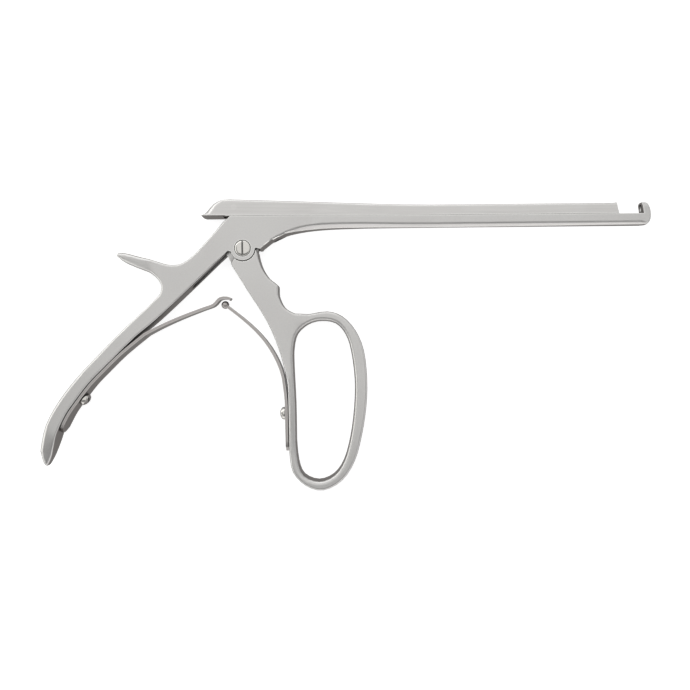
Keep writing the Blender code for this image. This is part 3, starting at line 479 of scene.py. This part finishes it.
def peenDrivePin(slideCopy):
    pin = copyOfNode("drive_pin", "drivePin")
    low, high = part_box("drive_pin")
    centre = (Vector(low) + Vector(high)) / 2
    hole = (high[0] - low[0]) / 2 * drivePinFit["holeSize"]
    takeUp(slideCopy)
    bpy.ops.object.mode_set(mode="EDIT")
    bpy.ops.mesh.select_all(action="DESELECT")
    bpy.ops.mesh.select_mode(type="FACE")
    bpy.ops.object.mode_set(mode="OBJECT")
    for face in slideCopy.data.polygons:    # the hole's own wall, now closed by the hammered pin
        upright = abs(face.normal.z) < drivePinFit["holeWallTilt"]
        face.select = (face.center - centre).xy.length < hole and upright
    bpy.ops.object.mode_set(mode="EDIT")
    bpy.ops.mesh.delete(type="FACE")
    bpy.ops.mesh.select_all(action="SELECT")
    bpy.ops.mesh.fill_holes(sides=0)
    bpy.ops.mesh.normals_make_consistent(inside=False)
    bpy.ops.object.mode_set(mode="OBJECT")
    takeUp(pin)
    bpy.ops.object.mode_set(mode="EDIT")
    for level in (low[2] + drivePinFit["flushDepth"], high[2] - drivePinFit["flushDepth"]):
        bpy.ops.mesh.select_all(action="SELECT")
        bpy.ops.mesh.bisect(plane_co=(0, 0, level), plane_no=(0, 0, 1))
    bpy.ops.object.mode_set(mode="OBJECT")
    end = (high[2] - low[2]) / 2 - drivePinFit["flushDepth"] / 2
    bandOfVertices(pin, lambda co: abs(co.z - centre.z) > end)
    grow = drivePinFit["peenedSize"]
    bpy.ops.transform.resize(value=(grow, grow, drivePinFit["peenedHeight"]), center_override=centre)
    bpy.ops.object.mode_set(mode="OBJECT")
    putInPlace(pin, "drive_pin", "slide", peenedSteel, sharpAngles["forged"])


frameForging = copyOfNode("frame", "frameForging")
slideBar = copyOfNode("slide", "slideBar")
closeTailTip(slideBar)
tightenSeam(frameForging, slideBar)
roundUnderside(frameForging)
peenDrivePin(slideBar)
putInPlace(frameForging, "frame", "frame", satinSteel, sharpAngles["forged"])
putInPlace(slideBar, "slide", "slide", brushedSteel, sharpAngles["forged"])
carryOver("ring_lever", "ringLever", "lever", satinSteel, sharpAngles["forged"])
carryOver("pivot_screw", "pivotScrew", "frame", screwSteel, sharpAngles["turned"])
carryOver("rear_spring_screw", "rearSpringScrew", "frame", screwSteel, sharpAngles["turned"])
carryOver("front_spring_screw", "frontSpringScrew", "lever", screwSteel, sharpAngles["turned"])


leafJoin = {
    "endReach": 0.0006,     # the two end faces lie this near the flex line
    "bendHalf": 0.005,      # half the length over which a leaf bends
    "cutShares": (-0.8, -0.5, -0.2, 0.2, 0.5, 0.8),    # where it is cut across, as shares of bendHalf
}


def makeLeaf(pieceName, rootNode, bladeNode, jointName):    # one strip of spring steel
    joint = [j for j in frame["joints"] if j["name"] == jointName][0]
    flexPlace = Vector(joint["pos_m"])
    root = copyOfNode(rootNode, pieceName)
    blade = copyOfNode(bladeNode, pieceName + "Blade")
    takeUp(root)
    blade.select_set(True)
    bpy.ops.object.join()
    ends = [f for f in root.data.polygons if (f.center - flexPlace).length < leafJoin["endReach"]]
    heading = ends[0].normal - ends[1].normal    # root's end faces along the leaf, the blade's faces back
    heading.normalize()
    bpy.ops.object.mode_set(mode="EDIT")
    bpy.ops.mesh.select_mode(type="FACE")
    bpy.ops.mesh.select_all(action="DESELECT")
    bpy.ops.object.mode_set(mode="OBJECT")
    for face in root.data.polygons:
        face.select = (face.center - flexPlace).length < leafJoin["endReach"]
    bpy.ops.object.mode_set(mode="EDIT")
    bpy.ops.mesh.bridge_edge_loops()
    for share in leafJoin["cutShares"]:
        bpy.ops.mesh.select_all(action="SELECT")
        bpy.ops.mesh.bisect(plane_co=flexPlace + heading * leafJoin["bendHalf"] * share, plane_no=heading)
    bpy.ops.mesh.select_all(action="SELECT")
    bpy.ops.mesh.normals_make_consistent(inside=False)
    bpy.ops.object.mode_set(mode="OBJECT")
    smoothRims(root, sharpAngles["forged"])
    dress(root, springSteel)
    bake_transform(root)
    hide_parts(rootNode, bladeNode)


makeLeaf("rearLeaf", "rear_leaf_root", "rear_leaf_blade", "rear_leaf_flex")
makeLeaf("frontLeaf", "front_leaf_root", "front_leaf_blade", "front_leaf_flex")
print("pieces dressed")


# floor, light and camera

studio = {    # metres, strengths, degrees of roll and millimetres of lens
    "floorSize": 14.0, "floorDrop": 0.0001, "floorColour": (0.50, 0.50, 0.50), "floorLift": 0.82,
    "worldStrength": 0.28, "horizonGlow": 0.72, "glowLow": 0.35, "glowHigh": 0.75,
    "cameraPlace": (-0.0005, -0.0003, 0.310), "cameraRoll": -0.55, "cameraLens": 31.304,
    "cameraNear": 0.01,
}
softboxes = {    # size across and along, place, radiance, colour
    "topSoftbox": (2.4, 2.0, (0, 0.42, 1.3), 0.83, (1, 0.995, 0.985)),
    "backSoftbox": (2.8, 0.9, (-0.5, 1.5, 0.5), 1.0, (1, 1, 1)),
    "leftSoftbox": (2.2, 0.9, (-1.6, 0.2, 0.45), 1.3, (1, 1, 0.96)),
    "frontStrip": (2.6, 0.4, (0.2, -1.5, 0.4), 0.95, (1, 0.95, 0.94)),
}


def seenDirectly(tree):    # camera, glossy and transmission rays, so that steel shows the same backdrop
    rays = tree.nodes.new("ShaderNodeLightPath")
    seen = mathNode(tree, "MAXIMUM", rays.outputs["Is Camera Ray"], rays.outputs["Is Glossy Ray"])
    return mathNode(tree, "MAXIMUM", seen, rays.outputs["Is Transmission Ray"])


def makeFloor():
    deselectAll()
    bpy.ops.mesh.primitive_plane_add(size=studio["floorSize"], location=(0, 0, -studio["floorDrop"]))
    floor = bpy.context.object
    floor.name = "studioFloor"
    material = bpy.data.materials.new("paleFloor")
    material.use_nodes = True
    tree = material.node_tree
    shader = tree.nodes["Principled BSDF"]
    shader.inputs["Base Color"].default_value = (*studio["floorColour"], 1)
    shader.inputs["Roughness"].default_value = 0.9
    shader.inputs["Specular IOR Level"].default_value = 0
    shader.inputs["Emission Color"].default_value = (1, 1, 1, 1)
    lift = mathNode(tree, "MULTIPLY", seenDirectly(tree), studio["floorLift"])
    tree.links.new(lift, shader.inputs["Emission Strength"])
    floor.data.materials.append(material)


def softbox(name, across, along, place, radiance, colour):
    deselectAll()
    bpy.ops.object.light_add(type="AREA", location=place)
    lamp = bpy.context.object
    lamp.name = name
    lamp.data.shape = "RECTANGLE"
    lamp.data.size = across
    lamp.data.size_y = along
    lamp.data.color = colour
    lamp.data.energy = radiance * across * along * pi
    lamp.rotation_euler = (-Vector(place)).to_track_quat("-Z", "Y").to_euler()


def makeStudio():
    world = bpy.data.worlds.new("studioWorld")
    bpy.context.scene.world = world
    world.use_nodes = True
    background = world.node_tree.nodes["Background"]
    background.inputs["Color"].default_value = (1, 1, 1, 1)
    tree = world.node_tree
    heading = tree.nodes.new("ShaderNodeTexCoord")    # pale backdrop near the horizon, dimmer overhead
    parts = tree.nodes.new("ShaderNodeSeparateXYZ")
    tree.links.new(heading.outputs["Generated"], parts.inputs[0])
    glow = tree.nodes.new("ShaderNodeMapRange")
    glow.interpolation_type = "SMOOTHSTEP"
    glow.inputs["From Min"].default_value = studio["glowLow"]
    glow.inputs["From Max"].default_value = studio["glowHigh"]
    glow.inputs["To Min"].default_value = studio["horizonGlow"]
    glow.inputs["To Max"].default_value = 0
    tree.links.new(parts.outputs["Z"], glow.inputs["Value"])
    shown = mathNode(tree, "MULTIPLY", seenDirectly(tree), glow.outputs[0])
    tree.links.new(mathNode(tree, "ADD", shown, studio["worldStrength"]), background.inputs["Strength"])
    for name, values in softboxes.items():
        softbox(name, *values)
    bpy.context.scene.view_settings.view_transform = "Standard"


def makeCamera():
    deselectAll()
    turn = (0, 0, radians(studio["cameraRoll"]))
    bpy.ops.object.camera_add(location=studio["cameraPlace"], rotation=turn)
    camera = bpy.context.object
    camera.name = "photoCamera"
    camera.data.lens = studio["cameraLens"]
    camera.data.clip_start = studio["cameraNear"]
    bpy.context.scene.camera = camera


makeFloor()
makeStudio()
makeCamera()
print("studio made")
